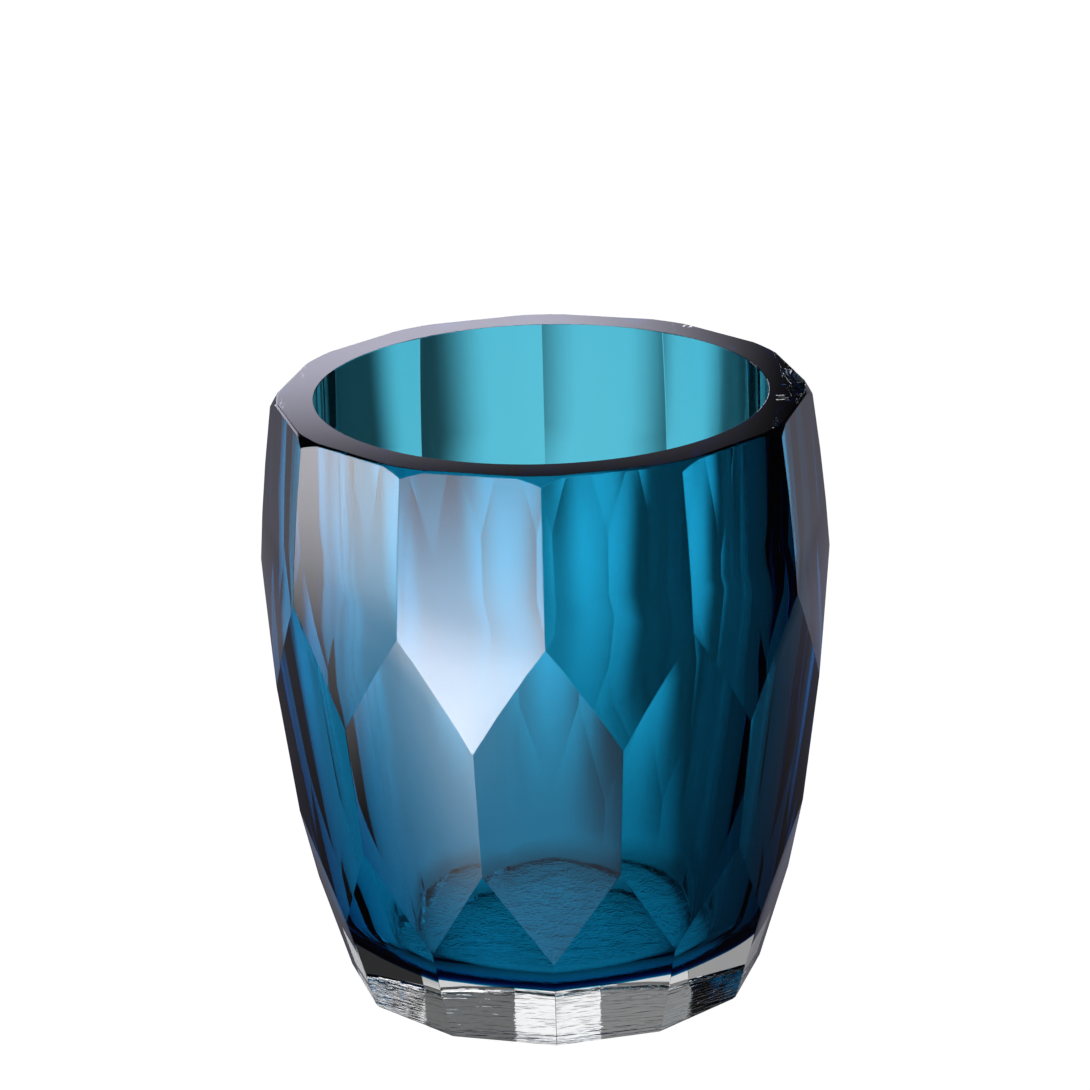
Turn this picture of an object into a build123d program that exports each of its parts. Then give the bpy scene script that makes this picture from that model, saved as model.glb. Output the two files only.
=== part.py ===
from build123d import *
import os
from math import cos, radians, sin

# Cut crystal vase: a thick clear body ground with three rows of flats, cased inside with thin blue glass.
# Millimetres, +Z up, origin at the middle of the base.

os.makedirs("parts", exist_ok=True)

# Overall sizes. Radii of flats are measured square to the flat, at the level named beside them.
height = 210.0
belly_radius = 95.6
facets_around = 12
pitch_angle = 360.0 / facets_around

# Top row: tall shield-shaped facets, bowed gently from rim to belly
belly_level_share = 0.464
rim_draw_in = 7.3
belly_level = belly_level_share * height
rim_radius = belly_radius - rim_draw_in
bow_rise = height - belly_level
bow_radius = (bow_rise**2 + rim_draw_in**2) / (2 * rim_draw_in)
bow_stock = 25.0

# Middle row: long hexagonal flats, half a pitch round from the top row
hexagon_level_share = 0.72
hexagon_radius_share = 1.014
hexagon_lean = 7.4
hexagon_level = hexagon_level_share * height
hexagon_radius = hexagon_radius_share * belly_radius

# Bottom row: kite-topped flats running down to the base, in line with the top row
foot_radius_share = 0.718
foot_lean = 16.7
foot_radius = foot_radius_share * belly_radius

# Edges of the rim and base
corner_land_radius = rim_radius + 1.0
corner_trim_lean = -40.0
rim_arris = 0.5
base_arris = 0.8
arris_lean = 45.0

# Hollow inside the clear body, and the lining that fills its skin
lining_thickness = 2.5
rim_wall = 8.8
shoulder_wall = 20.0
shoulder_level_share = 0.62
base_thickness_share = 0.088
floor_wall = 12.0
floor_corner_radius = 16.0
mouth_arris = 0.6
shoulder_level = shoulder_level_share * height
floor_level = base_thickness_share * height
mouth_radius = rim_radius - rim_wall
shoulder_radius = belly_radius - shoulder_wall
floor_radius = foot_radius - floor_wall

# Stock outside the finished body
blank_margin = 8.0
blank_radius = belly_radius / cos(radians(pitch_angle / 2)) + blank_margin
reach = 4 * height


def ground_flats(radius, level, lean, first_angle):
    """Grind one ring of flats, each `radius` from the axis at `level` and leaning outwards going up."""
    face = Plane(origin=(radius, 0, level), z_dir=(cos(radians(lean)), 0, -sin(radians(lean))))
    with PolarLocations(0, facets_around, start_angle=first_angle):
        with Locations(face):
            Box(reach, reach, reach, align=(Align.CENTER, Align.CENTER, Align.MIN), mode=Mode.SUBTRACT)


def hollow_section(skin):
    """Half section of the hollow, drawn `skin` inside the clear body's inner wall."""
    with BuildSketch(Plane.XZ) as section:
        with BuildLine():
            wall = ThreePointArc(
                (mouth_radius - skin, height),
                (shoulder_radius - skin, shoulder_level),
                (floor_radius - skin, floor_level + skin),
            )
            Polyline(wall @ 1, (0, floor_level + skin), (0, height), wall @ 0)
        make_face()
        floor_corner = section.vertices().group_by(Axis.Y)[0].sort_by(Axis.X)[-1]
        fillet(floor_corner, floor_corner_radius - skin)
    return section.sketch


# The stock beyond one bowed facet: everything outside a large wheel lying across the body
with BuildPart() as bowed_stock:
    with BuildSketch(Plane.XZ):
        with Locations((belly_radius, height / 2)):
            Rectangle(2 * bow_stock, 2 * height)
        with Locations((belly_radius - bow_radius, belly_level)):
            Circle(bow_radius, mode=Mode.SUBTRACT)
    extrude(amount=blank_radius, both=True)

# The stock beyond the rim's rounded corners
with BuildPart() as corner_stock:
    with BuildSketch(Plane.XZ):
        with Locations(Location((corner_land_radius, height), -corner_trim_lean)):
            Rectangle(blank_radius, height, align=(Align.MIN, Align.CENTER))
    revolve(axis=Axis.Z)

# Clear body: cut outside, hollow inside, with a heavy solid base
with BuildPart() as clear_casing:
    Cylinder(blank_radius, height, align=(Align.CENTER, Align.CENTER, Align.MIN))
    with PolarLocations(0, facets_around, start_angle=pitch_angle / 2):
        add(bowed_stock.part, mode=Mode.SUBTRACT)
    ground_flats(hexagon_radius, hexagon_level, hexagon_lean, 0)
    ground_flats(foot_radius, 0, foot_lean, pitch_angle / 2)
    ground_flats(rim_radius - rim_arris, height, -arris_lean, pitch_angle / 2)
    ground_flats(foot_radius - base_arris, 0, arris_lean, pitch_angle / 2)
    add(corner_stock.part, mode=Mode.SUBTRACT)
    add(hollow_section(0))
    revolve(axis=Axis.Z, mode=Mode.SUBTRACT)
clear_casing.part.label = "clear_casing"
export_step(clear_casing.part, "parts/clear_casing.step")

# Blue lining: fused to the clear body's inner wall and floor
with BuildPart() as blue_lining:
    add(hollow_section(0))
    revolve(axis=Axis.Z)
    add(hollow_section(lining_thickness))
    revolve(axis=Axis.Z, mode=Mode.SUBTRACT)
    with Locations((0, 0, height)):
        Cone(
            mouth_radius - lining_thickness,
            mouth_radius - lining_thickness + mouth_arris,
            mouth_arris,
            align=(Align.CENTER, Align.CENTER, Align.MAX),
            mode=Mode.SUBTRACT,
        )
blue_lining.part.label = "blue_lining"
export_step(blue_lining.part, "parts/blue_lining.step")
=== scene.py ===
"""Cut crystal vase: a clear faceted body over a thin blue lining, on a plain studio table."""

import math

import bpy
from mathutils import Matrix, Vector


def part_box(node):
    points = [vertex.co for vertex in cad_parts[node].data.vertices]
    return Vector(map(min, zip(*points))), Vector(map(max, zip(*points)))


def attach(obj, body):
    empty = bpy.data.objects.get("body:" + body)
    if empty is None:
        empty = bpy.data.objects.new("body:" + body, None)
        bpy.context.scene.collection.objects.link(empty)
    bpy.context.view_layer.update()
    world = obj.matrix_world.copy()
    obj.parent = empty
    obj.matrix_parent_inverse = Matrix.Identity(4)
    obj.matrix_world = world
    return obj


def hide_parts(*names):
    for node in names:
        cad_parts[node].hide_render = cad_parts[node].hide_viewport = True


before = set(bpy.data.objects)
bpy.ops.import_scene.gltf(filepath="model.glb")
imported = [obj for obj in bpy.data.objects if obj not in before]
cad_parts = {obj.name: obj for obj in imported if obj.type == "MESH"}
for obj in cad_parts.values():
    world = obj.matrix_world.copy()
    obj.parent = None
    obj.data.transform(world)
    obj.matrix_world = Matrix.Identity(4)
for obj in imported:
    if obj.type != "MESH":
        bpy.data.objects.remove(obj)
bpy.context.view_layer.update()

bl_info = {
    "name": "Cut Crystal Vase",
    "version": (1, 0, 0),
    "blender": (4, 5, 0),
    "location": "View3D > Sidebar > Vase",
    "description": "Builds a cut crystal vase and its studio around the packed frame",
    "category": "Add Mesh",
}

BODY_LOW, BODY_HIGH = [Vector(corner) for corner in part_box("clear_casing")]
SKIN_LOW, SKIN_HIGH = [Vector(corner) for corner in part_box("blue_lining")]
HEIGHT = BODY_HIGH.z - BODY_LOW.z
CORNER_RADIUS = (BODY_HIGH.x - BODY_LOW.x) / 2
MOUTH_RADIUS = (SKIN_HIGH.x - SKIN_LOW.x) / 2
FLOOR_LEVEL = SKIN_LOW.z
MM = 0.001


class VaseShape(bpy.types.PropertyGroup):
    """Sizes of the cut body and its hollow."""

    facets: bpy.props.IntProperty(
        name="Facets around", description="Flats in each row", default=12, min=3)
    belly_radius: bpy.props.FloatProperty(
        name="Belly radius", description="Axis to the middle of a top facet at its fullest",
        default=0.98405 * CORNER_RADIUS, unit="LENGTH")
    belly_level: bpy.props.FloatProperty(
        name="Belly level", description="Height at which the top facets are fullest",
        default=0.464 * HEIGHT, unit="LENGTH")
    rim_draw_in: bpy.props.FloatProperty(
        name="Rim draw in", description="How far the top facets lean in between belly and rim",
        default=0.0073, unit="LENGTH")
    bow_strips: bpy.props.IntProperty(
        name="Bow strips", description="Flat strips that make up one bowed facet", default=14, min=2)
    hexagon_level: bpy.props.FloatProperty(
        name="Hexagon level", description="Height at which the middle row's radius is measured",
        default=0.72 * HEIGHT, unit="LENGTH")
    hexagon_share: bpy.props.FloatProperty(
        name="Hexagon share", description="Middle row's radius as a share of the belly's",
        default=1.014)
    hexagon_lean: bpy.props.FloatProperty(
        name="Hexagon lean", description="Outward lean of the middle row", default=math.radians(7.4),
        subtype="ANGLE")
    foot_share: bpy.props.FloatProperty(
        name="Foot share", description="Bottom row's radius at the base as a share of the belly's",
        default=0.718)
    foot_lean: bpy.props.FloatProperty(
        name="Foot lean", description="Outward lean of the bottom row", default=math.radians(16.7),
        subtype="ANGLE")
    corner_land: bpy.props.FloatProperty(
        name="Corner land", description="How far the rim's corners stand out past the top facets",
        default=0.001, unit="LENGTH")
    edge_polish: bpy.props.FloatProperty(
        name="Edge polish", description="Width of the polished line along each cut edge",
        default=0.0005, unit="LENGTH")
    lining: bpy.props.FloatProperty(
        name="Lining", description="Thickness of the blue lining", default=0.0025, unit="LENGTH")
    skin_gap: bpy.props.FloatProperty(
        name="Skin gap", description="Clear film between the blue and the air in the hollow",
        default=0.00008, unit="LENGTH")
    floor_wall: bpy.props.FloatProperty(
        name="Floor wall", description="Clear wall between the foot flats' middle and the hollow's floor",
        default=0.012, unit="LENGTH")
    corner_radius: bpy.props.FloatProperty(
        name="Floor corner", description="Radius of the hollow's floor corner, measured in the clear body",
        default=0.016, unit="LENGTH")
    segments: bpy.props.IntProperty(
        name="Segments", description="Steps round the hollow", default=192, min=24)


class VaseGlass(bpy.types.PropertyGroup):
    """Colours of the two glasses."""

    crystal_tint: bpy.props.FloatVectorProperty(
        name="Crystal", description="Colour of the clear body", subtype="COLOR",
        default=(0.985, 0.988, 0.995))
    blue_tint: bpy.props.FloatVectorProperty(
        name="Blue", description="Colour that light keeps inside the lining", subtype="COLOR",
        default=(0.145, 0.764, 0.864))
    blue_depth: bpy.props.FloatProperty(
        name="Blue depth", description="Absorption of the lining, per metre", default=1100.0, min=0)


def deselect():
    bpy.ops.object.select_all(action="DESELECT")


def finish_edit(piece):
    """Leave edit mode with closed, outward-facing surfaces."""
    bpy.ops.mesh.select_all(action="SELECT")
    bpy.ops.mesh.remove_doubles(threshold=1e-6)
    bpy.ops.mesh.normals_make_consistent(inside=False)
    bpy.ops.object.mode_set(mode="OBJECT")
    return piece


def turned(name, stations, segments):
    """Turn a closed solid: one disc, extruded through (radius, level) stations."""
    deselect()
    radius, level = stations[0]
    bpy.ops.mesh.primitive_circle_add(vertices=segments, radius=radius, fill_type="NGON", location=(0, 0, level))
    piece = bpy.context.object
    piece.name = name
    bpy.ops.object.transform_apply(location=True, rotation=True, scale=True)
    bpy.ops.object.mode_set(mode="EDIT")
    bpy.ops.mesh.select_all(action="SELECT")
    for next_radius, next_level in stations[1:]:
        bpy.ops.mesh.extrude_region_move(TRANSFORM_OT_translate={"value": (0, 0, next_level - level)})
        ratio = next_radius / radius
        bpy.ops.transform.resize(value=(ratio, ratio, 1), center_override=(0, 0, next_level))
        radius, level = next_radius, next_level
    return finish_edit(piece)


def arc_through(first, middle, last, steps):
    """Points along the circle through three (radius, level) points."""
    (ax, ay), (bx, by), (cx, cy) = first, middle, last
    d = 2 * (ax * (by - cy) + bx * (cy - ay) + cx * (ay - by))
    ux = ((ax**2 + ay**2) * (by - cy) + (bx**2 + by**2) * (cy - ay) + (cx**2 + cy**2) * (ay - by)) / d
    uy = ((ax**2 + ay**2) * (cx - bx) + (bx**2 + by**2) * (ax - cx) + (cx**2 + cy**2) * (bx - ax)) / d
    r = math.hypot(ax - ux, ay - uy)
    start, end = math.atan2(ay - uy, ax - ux), math.atan2(cy - uy, cx - ux)
    return (ux, uy), r, [
        (ux + r * math.cos(start + (end - start) * i / steps), uy + r * math.sin(start + (end - start) * i / steps))
        for i in range(steps + 1)
    ]


def hollow_wall(shape, inset, top):
    """(radius, level) points of the hollow from mouth to floor flat, `inset` inside the clear wall."""
    first = (MOUTH_RADIUS - inset, HEIGHT)
    middle = (shape.belly_radius - 0.020 - inset, 0.62 * HEIGHT)
    last = (shape.foot_share * shape.belly_radius - shape.floor_wall - inset, FLOOR_LEVEL + inset)
    (ux, uy), r, wall = arc_through(first, middle, last, 40)
    corner = shape.corner_radius - inset
    floor = FLOOR_LEVEL + inset
    centre_level = floor + corner
    centre_radius = ux + math.sqrt((r - corner) ** 2 - (centre_level - uy) ** 2)
    touch = math.atan2(centre_level - uy, centre_radius - ux)
    wall = [p for p in wall if math.atan2(p[1] - uy, p[0] - ux) > touch]
    wall[0] = (wall[0][0], top)
    steps = 16
    sweep = [
        (centre_radius + corner * math.cos(touch + (-math.pi / 2 - touch) * i / steps),
         centre_level + corner * math.sin(touch + (-math.pi / 2 - touch) * i / steps))
        for i in range(steps + 1)
    ]
    return wall + sweep


def grind(radius, level, lean, turn):
    """Cut the body with one flat: `radius` from the axis at `level`, leaning out going up, at angle `turn`."""
    normal = Vector((math.cos(lean) * math.cos(turn), math.cos(lean) * math.sin(turn), -math.sin(lean)))
    point = Vector((radius * math.cos(turn), radius * math.sin(turn), level))
    bpy.ops.mesh.select_all(action="SELECT")
    bpy.ops.mesh.bisect(plane_co=point, plane_no=normal, use_fill=True, clear_outer=True, clear_inner=False)


def noise_height(tree, place, scale, stretch, detail):
    """Noise in object space, centred on 0."""
    mapping = tree.nodes.new("ShaderNodeMapping")
    mapping.inputs["Scale"].default_value = stretch
    noise = tree.nodes.new("ShaderNodeTexNoise")
    noise.inputs["Scale"].default_value = scale
    noise.inputs["Detail"].default_value = detail
    tree.links.new(place, mapping.inputs["Vector"])
    tree.links.new(mapping.outputs["Vector"], noise.inputs["Vector"])
    return sums(tree, "SUBTRACT", noise.outputs["Fac"], 0.5)


def cut_crystal(tint):
    """Clear crystal: hand-polished sides, a rippled underside and a mottled floor to the hollow."""
    material = bpy.data.materials.new("cut_crystal")
    material.use_nodes = True
    tree = material.node_tree
    shader = tree.nodes["Principled BSDF"]
    shader.inputs["Base Color"].default_value = (*tint, 1)
    shader.inputs["Metallic"].default_value = 0
    shader.inputs["Roughness"].default_value = 0.0
    shader.inputs["IOR"].default_value = 1.52
    shader.inputs["Transmission Weight"].default_value = 1
    place = tree.nodes.new("ShaderNodeTexCoord").outputs["Object"]
    split = tree.nodes.new("ShaderNodeSeparateXYZ")
    tree.links.new(place, split.inputs[0])
    level = split.outputs["Z"]
    under = fade(tree, level, 0.0001, 0.0006)
    floor = fade(tree, level, FLOOR_LEVEL + 0.0035, FLOOR_LEVEL + 0.006)
    inside = sums(tree, "SUBTRACT", floor, fade(tree, level, FLOOR_LEVEL + 0.001, FLOOR_LEVEL + 0.002))
    flat = sums(tree, "LESS_THAN", length_of(tree, split), 0.058)
    mottled = sums(tree, "MULTIPLY", inside, flat)
    sides = fade(tree, level, HEIGHT - 0.0012, HEIGHT - 0.0004)
    wheel = sums(tree, "MULTIPLY", noise_height(tree, place, 60, (1, 1, 0.2), 1), 0.00006)
    fine = sums(tree, "MULTIPLY", noise_height(tree, place, 260, (1, 1, 0.12), 1), 0.000006)
    height = sums(tree, "MULTIPLY", sides, sums(tree, "ADD", wheel, fine))
    ripple = sums(tree, "MULTIPLY", under, noise_height(tree, place, 160, (0.45, 1, 1), 2))
    height = sums(tree, "MULTIPLY_ADD", ripple, 0.0005, height)
    mottle = sums(tree, "MULTIPLY", mottled, noise_height(tree, place, 520, (1, 1, 1), 3))
    height = sums(tree, "MULTIPLY_ADD", mottle, 0.0004, height)
    bump = tree.nodes.new("ShaderNodeBump")
    bump.inputs["Strength"].default_value = 1
    bump.inputs["Distance"].default_value = 1
    tree.links.new(height, bump.inputs["Height"])
    tree.links.new(bump.outputs["Normal"], shader.inputs["Normal"])
    return material


def length_of(tree, split):
    """Distance from the vase's axis."""
    x, y = split.outputs["X"], split.outputs["Y"]
    return sums(tree, "SQRT", sums(tree, "ADD", sums(tree, "MULTIPLY", x, x), sums(tree, "MULTIPLY", y, y)))


def blue_glass(glass):
    """Glass that bends no light, because clear glass surrounds it, and only stains it."""
    material = bpy.data.materials.new("stained_blue_glass")
    material.use_nodes = True
    tree = material.node_tree
    shader = tree.nodes["Principled BSDF"]
    shader.inputs["Base Color"].default_value = (1, 1, 1, 1)
    shader.inputs["Metallic"].default_value = 0
    shader.inputs["Roughness"].default_value = 0
    shader.inputs["IOR"].default_value = 1.0
    shader.inputs["Transmission Weight"].default_value = 1
    absorb = tree.nodes.new("ShaderNodeVolumeAbsorption")
    absorb.inputs["Color"].default_value = (*glass.blue_tint, 1)
    absorb.inputs["Density"].default_value = glass.blue_depth
    tree.links.new(absorb.outputs["Volume"], tree.nodes["Material Output"].inputs["Volume"])
    return material


class VASE_OT_crystal_body(bpy.types.Operator):
    """Turn the clear body, grind its three rows of flats and polish its edges"""

    bl_idname = "vase.crystal_body"
    bl_label = "Crystal Body"

    def execute(self, context):
        shape = context.scene.vase_shape
        glass = context.scene.vase_glass
        pitch = 2 * math.pi / shape.facets
        blank = CORNER_RADIUS + 0.008
        hollow = hollow_wall(shape, shape.lining, HEIGHT)
        body = turned("crystal_body", [(blank, 0), (blank, HEIGHT)] + hollow, shape.segments)
        bpy.ops.object.mode_set(mode="EDIT")
        rim_radius = shape.belly_radius - shape.rim_draw_in
        rise = HEIGHT - shape.belly_level
        bow = (rise**2 + shape.rim_draw_in**2) / (2 * shape.rim_draw_in)
        lowest = shape.belly_level - 0.1 * rise
        for i in range(shape.facets):
            turn = pitch * (i + 0.5)
            for k in range(shape.bow_strips + 1):
                level = lowest + (HEIGHT - lowest) * k / shape.bow_strips
                lean = -math.asin((level - shape.belly_level) / bow)
                radius = shape.belly_radius - bow + bow * math.cos(lean)
                grind(radius, level, lean, turn)
            grind(shape.hexagon_share * shape.belly_radius, shape.hexagon_level, shape.hexagon_lean, pitch * i)
            grind(shape.foot_share * shape.belly_radius, 0, shape.foot_lean, turn)
            grind(rim_radius - 0.0005, HEIGHT, -math.radians(45), turn)
            grind(shape.foot_share * shape.belly_radius - 0.0008, 0, math.radians(45), turn)
        for i in range(shape.facets):
            for swerve in (-1, 0, 1):
                turn = pitch * i + swerve * math.radians(4.3)
                grind(rim_radius + shape.corner_land, HEIGHT, -math.radians(40), turn)
        bpy.ops.mesh.select_all(action="SELECT")
        bpy.ops.mesh.dissolve_limited(angle_limit=math.radians(0.05))
        finish_edit(body)
        body.data.materials.append(cut_crystal(glass.crystal_tint))
        bevel = body.modifiers.new("edge_polish", "BEVEL")
        bevel.width = shape.edge_polish
        bevel.segments = 2
        bevel.limit_method = "ANGLE"
        bevel.angle_limit = math.radians(7)
        bevel.harden_normals = False
        deselect()
        body.select_set(True)
        context.view_layer.objects.active = body
        bpy.ops.object.modifier_apply(modifier=bevel.name)
        bpy.ops.object.shade_smooth_by_angle(angle=math.radians(6))
        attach(body, "root")
        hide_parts("clear_casing")
        return {"FINISHED"}


class VASE_OT_blue_skin(bpy.types.Operator):
    """Turn the blue lining as one closed cup inside the clear body's inner surface"""

    bl_idname = "vase.blue_skin"
    bl_label = "Blue Skin"

    def execute(self, context):
        shape = context.scene.vase_shape
        gap = shape.skin_gap
        outside = hollow_wall(shape, 0, HEIGHT - gap)
        inside = hollow_wall(shape, shape.lining - gap, HEIGHT - gap)
        skin = turned("blue_skin", outside[::-1] + inside, shape.segments)
        skin.data.materials.append(blue_glass(context.scene.vase_glass))
        deselect()
        skin.select_set(True)
        context.view_layer.objects.active = skin
        bpy.ops.object.shade_smooth_by_angle(angle=math.radians(30))
        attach(skin, "root")
        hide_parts("blue_lining")
        return {"FINISHED"}


# Radiance of the studio by direction, in degrees: (azimuth from the back, elevation) of a pale zone's middle,
# its (half width, half height), how far each fades, and its strength.
THROUGH_LEVEL = 0.03
THROUGH_ZONES = (
    ((-6, 25), (8, 10), (5, 8), 1.00),
    ((-26, 24), (20, 12), (10, 12), 0.22),
    ((24, 24), (20, 12), (10, 12), 0.14),
    ((135, 50), (42, 16), (12, 12), 1.40),
    ((68, 12), (18, 26), (8, 12), 1.30),
    ((-50, 2), (28, 14), (20, 12), 0.35),
    ((170, 2), (30, 14), (30, 12), 0.35),
)
MIRROR_LEVEL = 0.015
MIRROR_ZONES = (
    ((180, -37), (12, 9), (10, 8), 0.50),
    ((-146, -11), (20, 7), (10, 8), 5.00),
    ((-25, 8), (25.8, 10), (3, 1.6), 2.40),
    ((30, -14), (24, 12), (16, 14), 0.30),
    ((-32, -14), (24, 12), (16, 14), 0.28),
)
# Pools of painted light on the table, well clear of the foot: azimuth, half width, fade, strength
POOLS = (
    (3, 10, 12, 0.95),
    (-50, 14, 16, 0.80),
    (-92, 14, 20, 0.70),
    (135, 16, 20, 0.90),
    (180, 12, 20, 0.60),
)


def sums(tree, operation, *values):
    """A Math node fed by sockets or numbers: returns its output."""
    node = tree.nodes.new("ShaderNodeMath")
    node.operation = operation
    for socket, value in zip(node.inputs, values):
        if isinstance(value, (int, float)):
            socket.default_value = value
        else:
            tree.links.new(value, socket)
    return node.outputs[0]


def fade(tree, value, full, none):
    """1 where the value is at `full`, easing to 0 at `none`."""
    node = tree.nodes.new("ShaderNodeMapRange")
    node.interpolation_type = "SMOOTHSTEP"
    low, high = min(full, none), max(full, none)
    node.inputs["From Min"].default_value = low
    node.inputs["From Max"].default_value = high
    node.inputs["To Min"].default_value = 1 if full < none else 0
    node.inputs["To Max"].default_value = 0 if full < none else 1
    tree.links.new(value, node.inputs["Value"])
    return node.outputs["Result"]


def near_angle(tree, angle, middle, half, soft):
    """1 within `half` degrees of an angle, fading over `soft`."""
    away = sums(tree, "WRAP", sums(tree, "SUBTRACT", angle, middle), 180, -180)
    return fade(tree, sums(tree, "ABSOLUTE", away), half - soft / 2, half + soft / 2)


def room_light(tree, level, zones):
    """Radiance by direction: pale zones in a dark room."""
    coord = tree.nodes.new("ShaderNodeTexCoord")
    split = tree.nodes.new("ShaderNodeSeparateXYZ")
    tree.links.new(coord.outputs["Generated"], split.inputs[0])
    azimuth = sums(tree, "DEGREES", sums(tree, "ARCTAN2", split.outputs["X"], split.outputs["Y"]))
    elevation = sums(tree, "DEGREES", sums(tree, "ARCSINE", split.outputs["Z"]))
    total = level
    for (turn, tilt), (wide, high), (side_fade, end_fade), strength in zones:
        mask = sums(tree, "MULTIPLY", near_angle(tree, azimuth, turn, wide, side_fade),
                    near_angle(tree, elevation, tilt, high, end_fade))
        total = sums(tree, "MULTIPLY_ADD", mask, strength, total)
    return total


def glow_card(name, colour, strength_of, see_through=False):
    """A glowing material whose strength is built by `strength_of(tree, object coordinates)`."""
    material = bpy.data.materials.new(name)
    material.use_nodes = True
    tree = material.node_tree
    tree.nodes.clear()
    output = tree.nodes.new("ShaderNodeOutputMaterial")
    glow = tree.nodes.new("ShaderNodeEmission")
    glow.inputs["Color"].default_value = (*colour, 1)
    coord = tree.nodes.new("ShaderNodeTexCoord")
    tree.links.new(strength_of(tree, coord.outputs["Object"]), glow.inputs["Strength"])
    shown = glow.outputs[0]
    if see_through:
        both = tree.nodes.new("ShaderNodeAddShader")
        tree.links.new(shown, both.inputs[0])
        tree.links.new(tree.nodes.new("ShaderNodeBsdfTransparent").outputs[0], both.inputs[1])
        shown = both.outputs[0]
    tree.links.new(shown, output.inputs["Surface"])
    return material


def table_glow(tree, place):
    """The table as the glass sees it: painted pools of light behind and to the left, dim to the right, a painted
    bright disc right under the foot, and painted shade where the pools dim close to it.
    """
    split = tree.nodes.new("ShaderNodeSeparateXYZ")
    tree.links.new(place, split.inputs[0])
    x, y = split.outputs["X"], split.outputs["Y"]
    away = length_of(tree, split)
    azimuth = sums(tree, "DEGREES", sums(tree, "ARCTAN2", x, y))
    total = sums(tree, "MULTIPLY", fade(tree, x, 0.0, 0.09), fade(tree, away, 0.30, 0.46))
    # Painted shade: the pools dim towards the foot.
    total = sums(tree, "MULTIPLY", total, fade(tree, away, 0.11, 0.04))
    total = sums(tree, "MULTIPLY", total, near_angle(tree, azimuth, -35, 75, 20))
    total = sums(tree, "MULTIPLY_ADD", total, 0.60, 0.10)
    # Painted light: a bright disc right under the foot.
    total = sums(tree, "MULTIPLY_ADD", fade(tree, away, 0.035, 0.075), 0.55, total)
    far = fade(tree, away, 0.40, 0.14)
    for turn, half, soft, strength in POOLS:
        pool = sums(tree, "MULTIPLY", far, near_angle(tree, azimuth, turn, half, soft))
        total = sums(tree, "MULTIPLY_ADD", pool, strength, total)
    return total


def softbox_glow(strength):
    """A softbox face, brightest in the middle."""

    def strength_of(tree, place):
        square = tree.nodes.new("ShaderNodeVectorMath")
        square.operation = "DOT_PRODUCT"
        tree.links.new(place, square.inputs[0])
        tree.links.new(place, square.inputs[1])
        bell = sums(tree, "EXPONENT", sums(tree, "MULTIPLY", square.outputs["Value"], -25))
        return sums(tree, "MULTIPLY", bell, strength)

    return strength_of


def softbox(name, azimuth, elevation, distance, width, height, strength):
    """A softbox that shows only as a reflection on the glass."""
    deselect()
    bpy.ops.mesh.primitive_plane_add(size=1)
    box = bpy.context.object
    box.name = name
    heading = Vector((math.sin(azimuth) * math.cos(elevation), math.cos(azimuth) * math.cos(elevation),
                      math.sin(elevation)))
    turn = (-heading).to_track_quat("Z", "Y").to_matrix().to_4x4()
    middle = Matrix.Translation(heading * distance + Vector((0, 0, HEIGHT / 2)))
    box.matrix_world = middle @ turn @ Matrix.Diagonal((5 * width, 5 * height, 1, 1))
    box.data.materials.append(glow_card(name, (0.93, 0.93, 1.0), softbox_glow(strength), True))
    box.visible_camera = False
    box.visible_transmission = False
    box.visible_diffuse = False
    box.visible_shadow = False
    return box


def table_plane(name, level, material):
    deselect()
    bpy.ops.mesh.primitive_plane_add(size=8, location=(0, 0, level))
    plane = bpy.context.object
    plane.name = name
    plane.data.materials.append(material)
    plane.visible_glossy = False
    plane.visible_diffuse = False
    return plane


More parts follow.
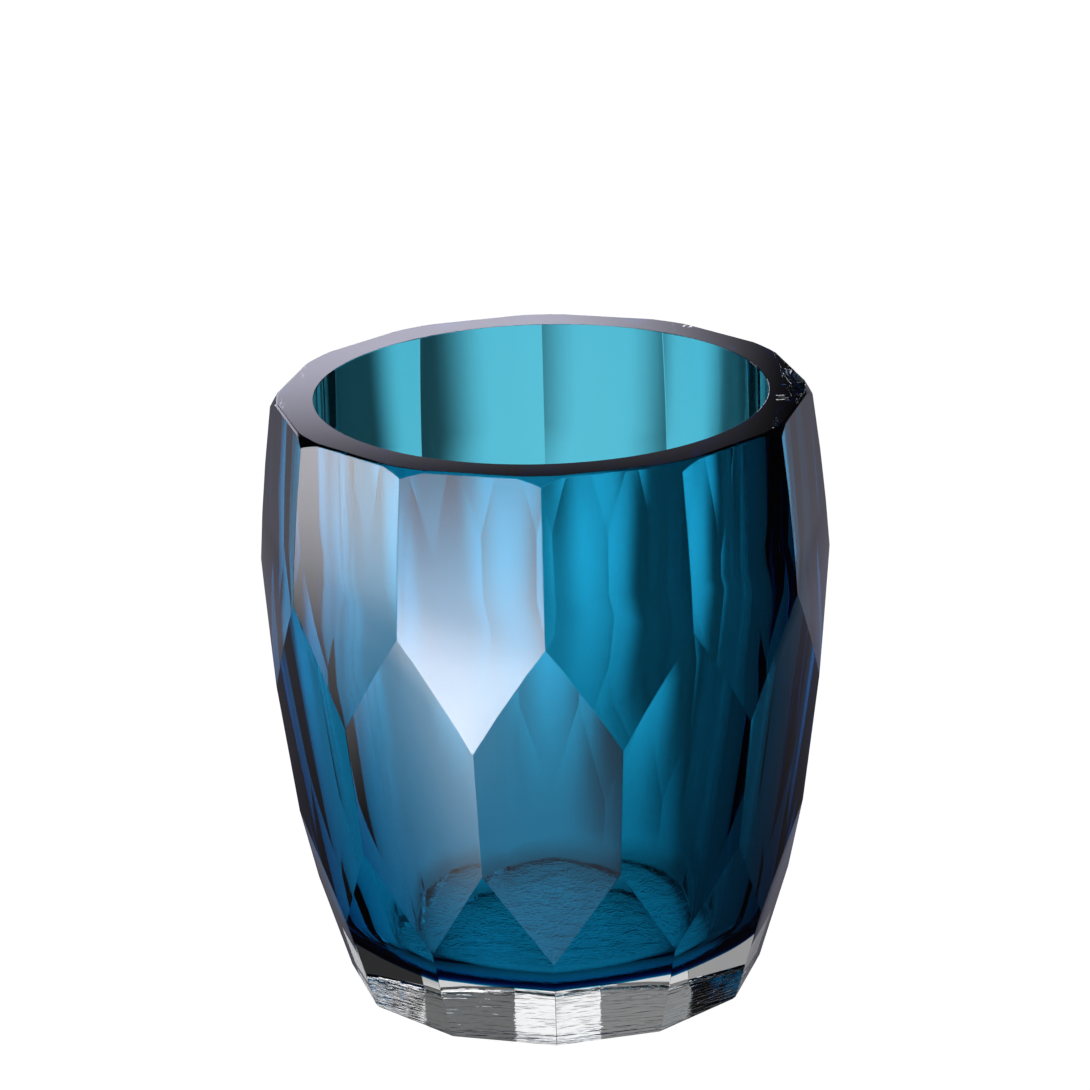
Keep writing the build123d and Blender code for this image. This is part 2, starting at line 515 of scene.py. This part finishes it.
class VASE_OT_studio(bpy.types.Operator):
    """Set the pale table, the soft lights and the camera"""

    bl_idname = "vase.studio"
    bl_label = "Studio"

    def execute(self, context):
        scene = context.scene
        deselect()
        white = bpy.data.materials.new("pale_table")
        white.use_nodes = True
        shader = white.node_tree.nodes["Principled BSDF"]
        shader.inputs["Base Color"].default_value = (0.9, 0.9, 0.9, 1)
        shader.inputs["Roughness"].default_value = 0.9
        shader.inputs["Emission Color"].default_value = (1, 1, 1, 1)
        shader.inputs["Emission Strength"].default_value = 1.0
        table_plane("table", -0.0002, white).visible_transmission = False
        glass_view = table_plane("table_light", -0.0004, glow_card("table_light", (1, 1, 1), table_glow))
        glass_view.visible_camera = False
        softbox("broad_softbox", math.radians(-141), math.radians(-23.5), 4, 1.60, 0.70, 22)
        softbox("side_softbox", math.radians(-88), math.radians(-2), 4, 1.0, 0.78, 10)
        world = bpy.data.worlds.new("studio_air")
        scene.world = world
        world.use_nodes = True
        tree = world.node_tree
        path = tree.nodes.new("ShaderNodeLightPath")
        through = tree.nodes["Background"]
        through.inputs["Color"].default_value = (1, 1, 1, 1)
        tree.links.new(room_light(tree, THROUGH_LEVEL, THROUGH_ZONES), through.inputs["Strength"])
        mirrored = tree.nodes.new("ShaderNodeBackground")
        mirrored.inputs["Color"].default_value = (0.84, 0.82, 1.0, 1)
        tree.links.new(room_light(tree, MIRROR_LEVEL, MIRROR_ZONES), mirrored.inputs["Strength"])
        backdrop = tree.nodes.new("ShaderNodeBackground")
        backdrop.inputs["Color"].default_value = (1, 1, 1, 1)
        shown = mirrored.outputs[0]
        for ray, light in (("Is Transmission Ray", through), ("Is Camera Ray", backdrop)):
            mix = tree.nodes.new("ShaderNodeMixShader")
            tree.links.new(path.outputs[ray], mix.inputs[0])
            tree.links.new(shown, mix.inputs[1])
            tree.links.new(light.outputs[0], mix.inputs[2])
            shown = mix.outputs[0]
        tree.links.new(shown, tree.nodes["World Output"].inputs["Surface"])
        camera_data = bpy.data.cameras.new("camera")
        camera_data.sensor_width = 36
        camera_data.lens = 184.08
        camera = bpy.data.objects.new("camera", camera_data)
        context.collection.objects.link(camera)
        swing, dip, roll = math.radians(0.49), math.radians(19.36), math.radians(-1.51)
        reach, rise = 1.7944, 0.7855
        place = Vector((reach * math.sin(swing), -reach * math.cos(swing), rise))
        camera.matrix_world = (
            Matrix.Translation(place)
            @ Matrix.Rotation(swing, 4, "Z")
            @ Matrix.Rotation(math.pi / 2 - dip, 4, "X")
            @ Matrix.Rotation(roll, 4, "Z")
        )
        scene.camera = camera
        scene.view_settings.view_transform = "Standard"
        scene.cycles.max_bounces = 32
        scene.cycles.transmission_bounces = 28
        scene.cycles.glossy_bounces = 16
        scene.cycles.transparent_max_bounces = 16
        return {"FINISHED"}


class VASE_PT_panel(bpy.types.Panel):
    """Lists the steps that build the vase"""

    bl_idname = "VASE_PT_panel"
    bl_label = "Cut Crystal Vase"
    bl_space_type = "VIEW_3D"
    bl_region_type = "UI"
    bl_category = "Vase"

    def draw(self, context):
        for operator in STEPS:
            self.layout.operator(operator.bl_idname)


STEPS = (VASE_OT_crystal_body, VASE_OT_blue_skin, VASE_OT_studio)
CLASSES = (VaseShape, VaseGlass, *STEPS, VASE_PT_panel)


def register():
    for cls in CLASSES:
        bpy.utils.register_class(cls)
    bpy.types.Scene.vase_shape = bpy.props.PointerProperty(type=VaseShape)
    bpy.types.Scene.vase_glass = bpy.props.PointerProperty(type=VaseGlass)


def unregister():
    del bpy.types.Scene.vase_glass
    del bpy.types.Scene.vase_shape
    for cls in reversed(CLASSES):
        bpy.utils.unregister_class(cls)


def main():
    register()
    bpy.ops.vase.crystal_body()
    bpy.ops.vase.blue_skin()
    bpy.ops.vase.studio()


if __name__ == "__main__":
    main()
